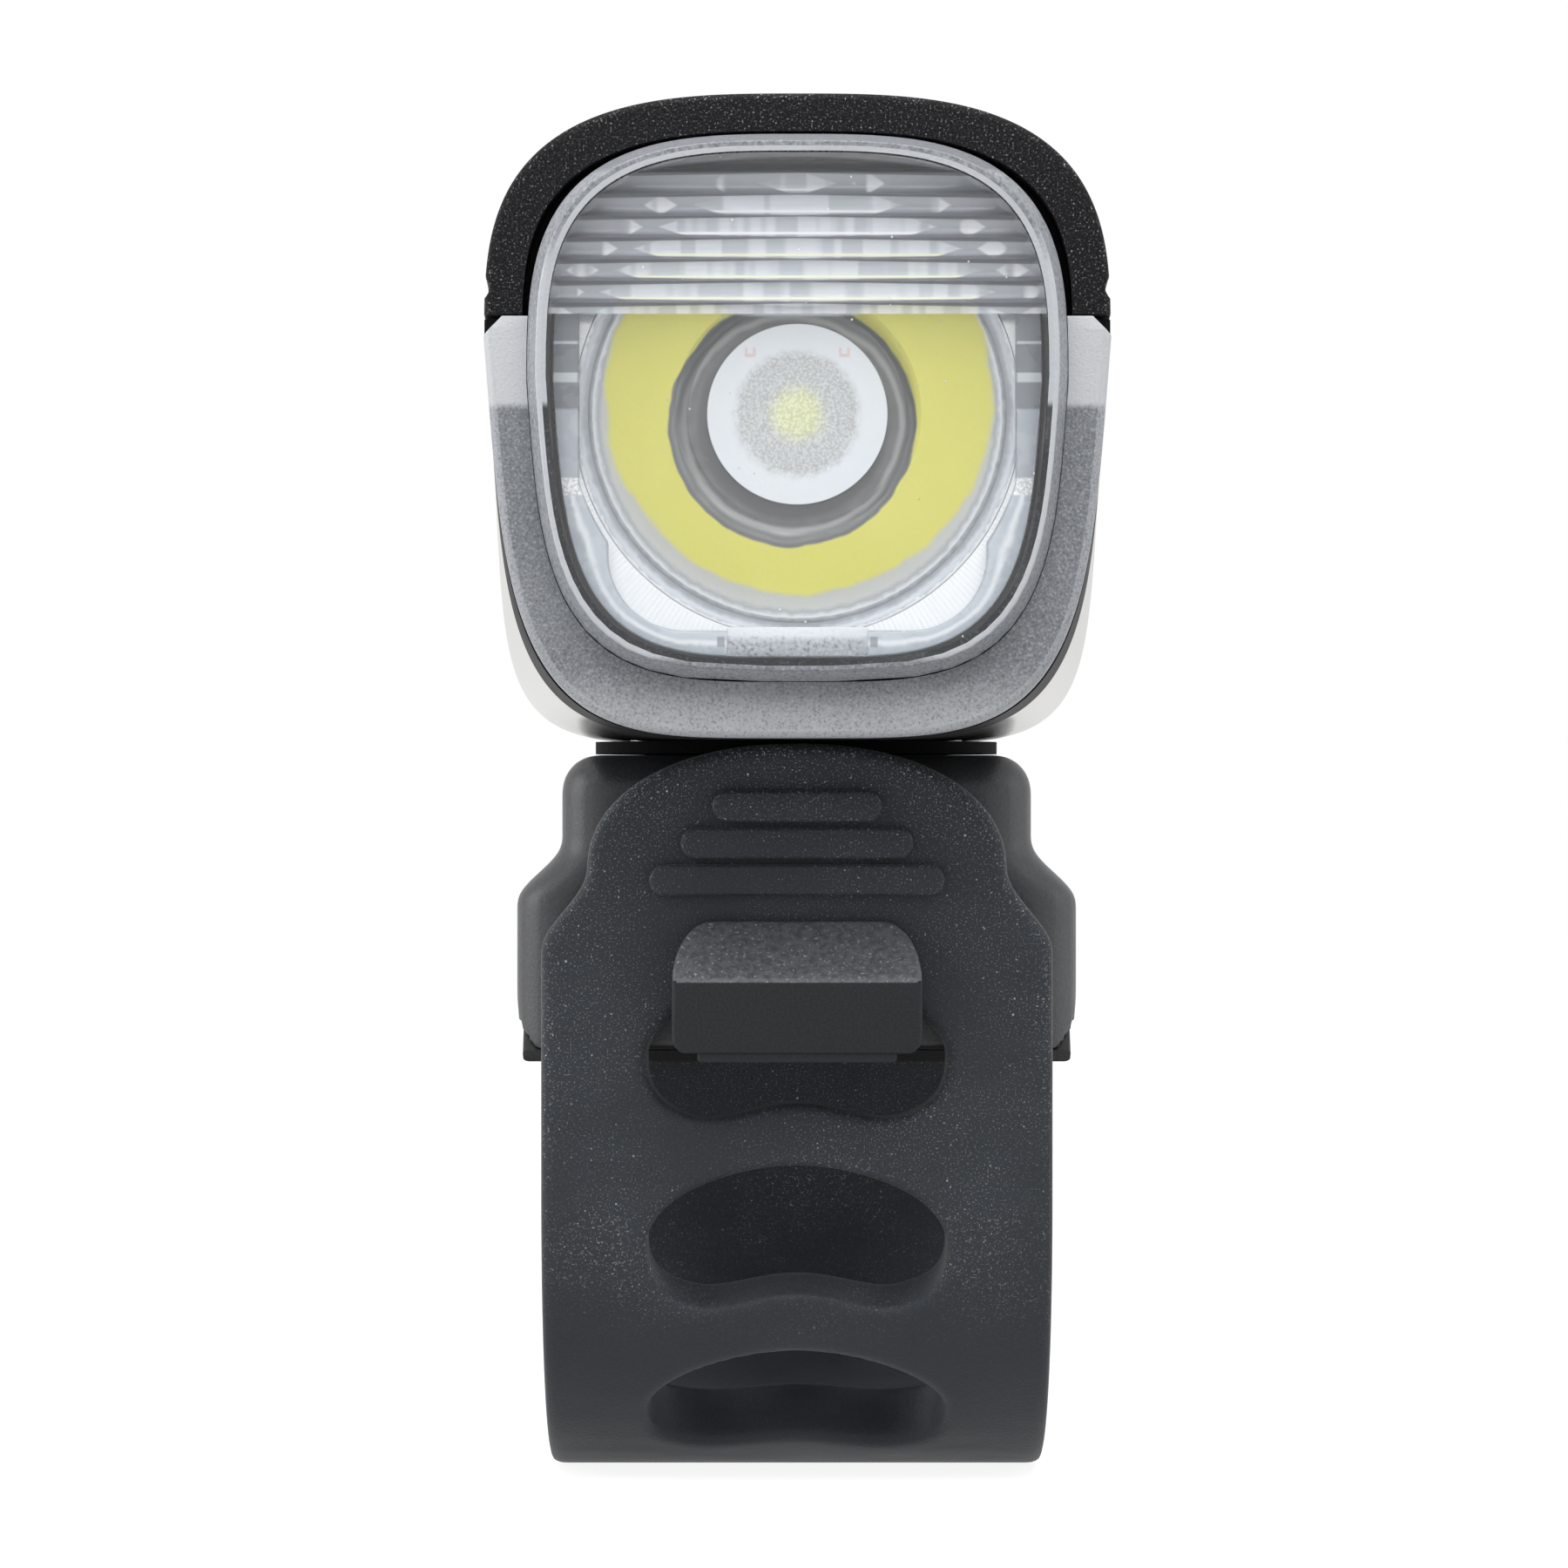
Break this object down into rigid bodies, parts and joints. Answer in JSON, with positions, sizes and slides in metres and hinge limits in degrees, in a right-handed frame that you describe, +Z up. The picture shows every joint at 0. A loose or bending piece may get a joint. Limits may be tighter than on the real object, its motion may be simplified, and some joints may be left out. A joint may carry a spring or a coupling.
{
  "type": "bike headlight",
  "caption": "Compact LED bicycle headlight: hooded rounded-square lens over a collimator, silver body, swivel foot, and a bracket held to the handlebar by a buttoned rubber strap.",
  "frame": {"origin": "on the handlebar's axis, straight below the lamp's swivel axis", "axes": "+X along the handlebar, -Y the way the beam points, +Z up"},
  "size_m": [0.0348, 0.0936, 0.0756],
  "materials": {
    "clear_plastic": "clear polycarbonate, polished",
    "frosted_plastic": "frosted polycarbonate with a fine spark texture",
    "optic_plastic": "clear moulded acrylic",
    "pale_plastic": "pale grey, satin",
    "black_plastic": "black, fine grain",
    "cover_plastic": "black, coarse spark grain",
    "bracket_plastic": "black nylon, smooth",
    "shell_aluminium": "satin, bead blasted",
    "sink_aluminium": "turned",
    "screw_steel": "zinc plated",
    "seal_rubber": "matte black",
    "strap_rubber": "matte, slightly dusty",
    "button_rubber": "soft matte grey",
    "phosphor": "yellow phosphor under a clear dome",
    "white_board": "white solder mask",
    "green_board": "green solder mask",
    "wire_jacket": "insulated wire",
    "cell_wrap": "shrink wrap",
    "nickel": "bare strip",
    "foam": "open foam",
    "switch_metal": "stamped",
    "socket_steel": "stamped"
  },
  "bodies": {
    "mount": {"bracket": "bracket_plastic", "saddle_pad": "seal_rubber", "strap": "strap_rubber", "strap_pin": "screw_steel"},
    "lamp": {"front_lens": "clear_plastic", "side_window": "frosted_plastic", "lens_gasket": "seal_rubber", "front_frame": "black_plastic", "frame_screws": "screw_steel", "optic_holder": "pale_plastic", "tir_optic": "optic_plastic", "led_emitter": "phosphor", "led_board": "white_board", "led_board_screws": "screw_steel", "led_leads": "wire_jacket", "heat_sink": "sink_aluminium", "top_cover": "cover_plastic", "lower_shell": "shell_aluminium", "rear_gasket": "seal_rubber", "rear_cap": "black_plastic", "cap_screws": "screw_steel", "battery_cell": "cell_wrap", "battery_cradle": "black_plastic", "cell_tabs": "nickel", "foam_pad": "foam", "driver_board": "green_board", "button_switch": "switch_metal", "indicator_pipe": "clear_plastic", "charge_socket": "socket_steel", "swivel_foot": "black_plastic", "foot_screws": "screw_steel", "pivot_washer": "screw_steel", "pivot_screw": "screw_steel"},
    "button": {"power_button": "button_rubber"},
    "port_flap": {"port_cover": "seal_rubber"}
  },
  "joints": [
    {"name": "lamp_swivel", "type": "hinge", "parent": "mount", "child": "lamp", "pos_m": [0, 0, 0.0242], "axis": [0, 0, 1], "range_deg": [-20, 20]},
    {"name": "button_press", "type": "slide", "parent": "lamp", "child": "button", "axis": [0, 0, -1], "range_m": [0, 0.0008], "stiffness_N_per_m": 3000, "springref_m": -0.0001},
    {"name": "port_cover_open", "type": "hinge", "parent": "lamp", "child": "port_flap", "pos_m": [0, 0.0651, 0.0482], "axis": [-1, 0, 0], "range_deg": [0, 100]}
  ]
}
